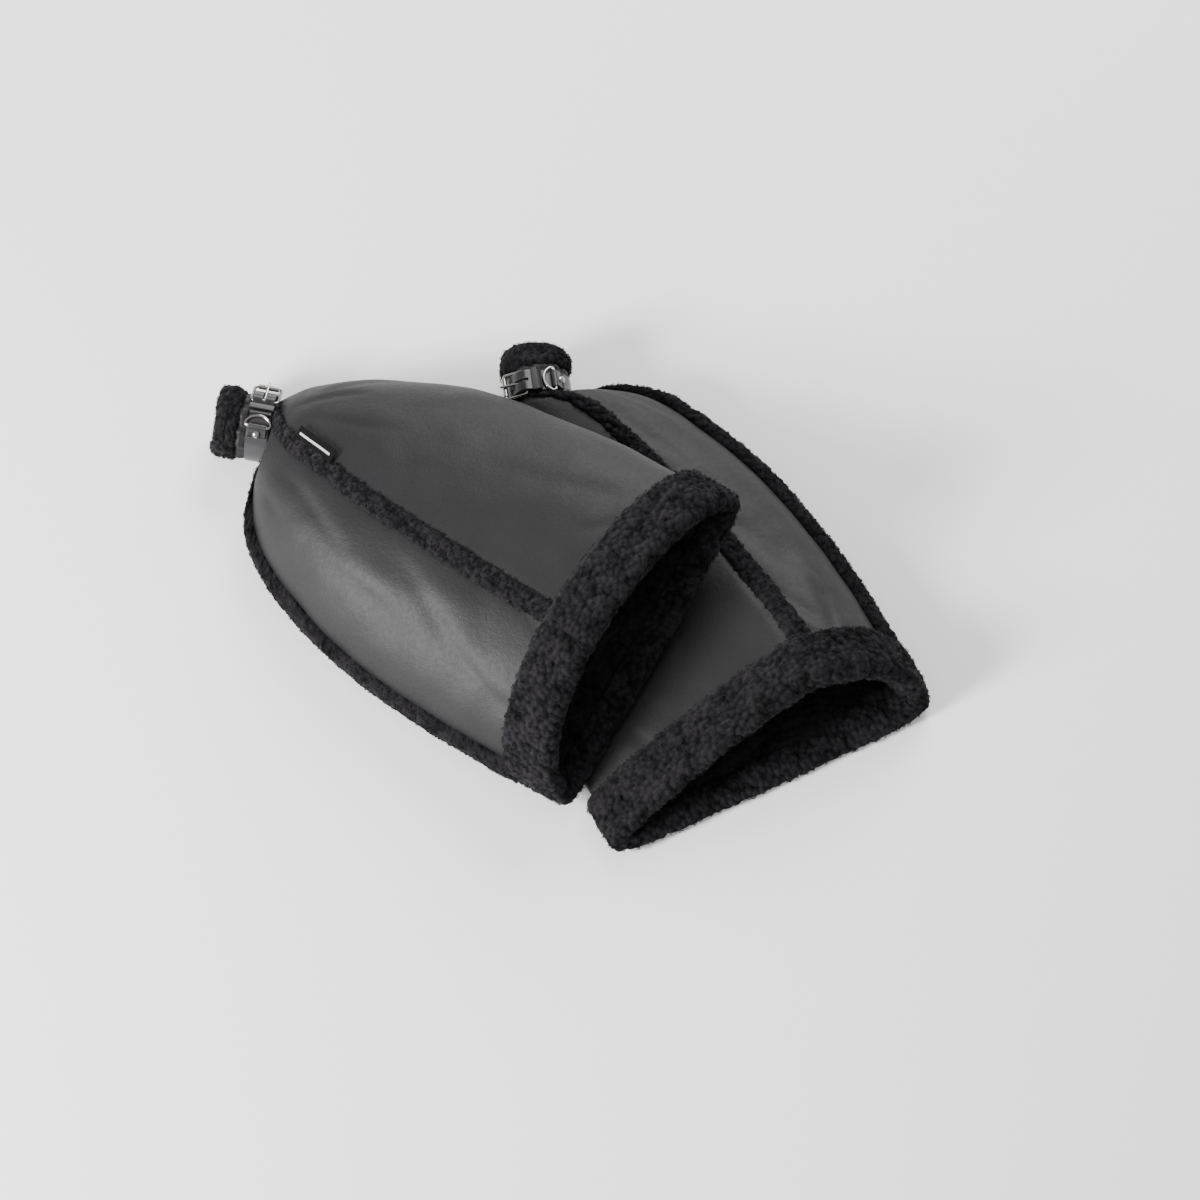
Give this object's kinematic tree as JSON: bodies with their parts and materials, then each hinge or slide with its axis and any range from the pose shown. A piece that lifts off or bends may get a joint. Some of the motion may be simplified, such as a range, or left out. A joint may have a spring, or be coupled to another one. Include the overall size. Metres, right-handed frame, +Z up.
{
  "type": "hand warmer muff",
  "caption": "Pair of padded handlebar muffs in dark leather cloth: fleece lining, wide turned-back mouth cuffs, round necks with collars and buckled belts.",
  "frame": {"origin": "centre of the pair's footprint, on the ground", "axes": "+Z up; +X along the pair's longest side, from the left muff's neck towards the right muff's mouth; +Y away from the two mouths"},
  "size_m": [0.515, 0.3982, 0.1307],
  "materials": {
    "leather_cloth": "matte, fine grain",
    "fleece": "curled pile",
    "strap_leather": "satin",
    "nickel_wire": "bright nickel plate",
    "woven_label": "fine satin weave"
  },
  "bodies": {
    "left_muff": {"left_fold_panel": "leather_cloth", "left_curve_panel": "leather_cloth", "left_under_panel": "leather_cloth", "left_lining_top": "fleece", "left_lining_under": "fleece", "left_center_seam_strip": "fleece", "left_edge_trim": "fleece", "left_mouth_cuff": "fleece", "left_label": "woven_label", "left_neck_sleeve": "leather_cloth", "left_neck_lining": "fleece", "left_neck_collar": "fleece", "left_belt_strap": "strap_leather", "left_ring_tab": "strap_leather", "left_tab_rivet": "nickel_wire"},
    "left_keeper": {"left_keeper": "strap_leather"},
    "left_buckle_frame": {"left_buckle_frame": "nickel_wire"},
    "left_buckle_roller": {"left_buckle_roller": "nickel_wire"},
    "left_buckle_prong": {"left_buckle_prong": "nickel_wire"},
    "left_d_ring": {"left_d_ring": "nickel_wire"},
    "right_muff": {"right_fold_panel": "leather_cloth", "right_curve_panel": "leather_cloth", "right_under_panel": "leather_cloth", "right_lining_top": "fleece", "right_lining_under": "fleece", "right_center_seam_strip": "fleece", "right_edge_trim": "fleece", "right_mouth_cuff": "fleece", "right_neck_sleeve": "leather_cloth", "right_neck_lining": "fleece", "right_neck_collar": "fleece", "right_belt_strap": "strap_leather", "right_ring_tab": "strap_leather", "right_tab_rivet": "nickel_wire"},
    "right_keeper": {"right_keeper": "strap_leather"},
    "right_buckle_frame": {"right_buckle_frame": "nickel_wire"},
    "right_buckle_roller": {"right_buckle_roller": "nickel_wire"},
    "right_buckle_prong": {"right_buckle_prong": "nickel_wire"},
    "right_d_ring": {"right_d_ring": "nickel_wire"}
  },
  "joints": [
    {"name": "left_muff_lift", "type": "slide", "parent": "right_muff", "child": "left_muff", "axis": [0, 0, 1], "range_m": [0, 0.3]},
    {"name": "left_buckle_hinge", "type": "hinge", "parent": "left_muff", "child": "left_buckle_frame", "pos_m": [-0.21863, 0.1456, 0.05072], "axis": [0.9781, -0.2079, 0], "range_deg": [0, 45]},
    {"name": "left_prong_hinge", "type": "hinge", "parent": "left_buckle_frame", "child": "left_buckle_prong", "pos_m": [-0.21863, 0.1456, 0.05072], "axis": [0.9781, -0.2079, 0], "range_deg": [0, 55]},
    {"name": "left_roller_spin", "type": "hinge", "parent": "left_buckle_frame", "child": "left_buckle_roller", "pos_m": [-0.21546, 0.16048, 0.04457], "axis": [0.9781, -0.2079, 0], "continuous": true},
    {"name": "left_ring_hinge", "type": "hinge", "parent": "left_muff", "child": "left_d_ring", "pos_m": [-0.22312, 0.12447, 0.05059], "axis": [0.9781, -0.2079, 0], "range_deg": [0, 100]},
    {"name": "left_keeper_shift", "type": "hinge", "parent": "left_muff", "child": "left_keeper", "pos_m": [-0.22062, 0.13623, 0.027], "axis": [0.9781, -0.2079, 0], "range_deg": [-1.5, 1.5]},
    {"name": "right_buckle_hinge", "type": "hinge", "parent": "right_muff", "child": "right_buckle_frame", "pos_m": [-0.0286, 0.16225, 0.05072], "axis": [-0.1305, 0.9914, 0], "range_deg": [0, 45]},
    {"name": "right_prong_hinge", "type": "hinge", "parent": "right_buckle_frame", "child": "right_buckle_prong", "pos_m": [-0.0286, 0.16225, 0.05072], "axis": [-0.1305, 0.9914, 0], "range_deg": [0, 55]},
    {"name": "right_roller_spin", "type": "hinge", "parent": "right_buckle_frame", "child": "right_buckle_roller", "pos_m": [-0.04367, 0.16027, 0.04457], "axis": [-0.1305, 0.9914, 0], "continuous": true},
    {"name": "right_ring_hinge", "type": "hinge", "parent": "right_muff", "child": "right_d_ring", "pos_m": [-0.00718, 0.16507, 0.05059], "axis": [-0.1305, 0.9914, 0], "range_deg": [0, 100]},
    {"name": "right_keeper_shift", "type": "hinge", "parent": "right_muff", "child": "right_keeper", "pos_m": [-0.0191, 0.16351, 0.027], "axis": [-0.1305, 0.9914, 0], "range_deg": [-1.5, 1.5]}
  ]
}
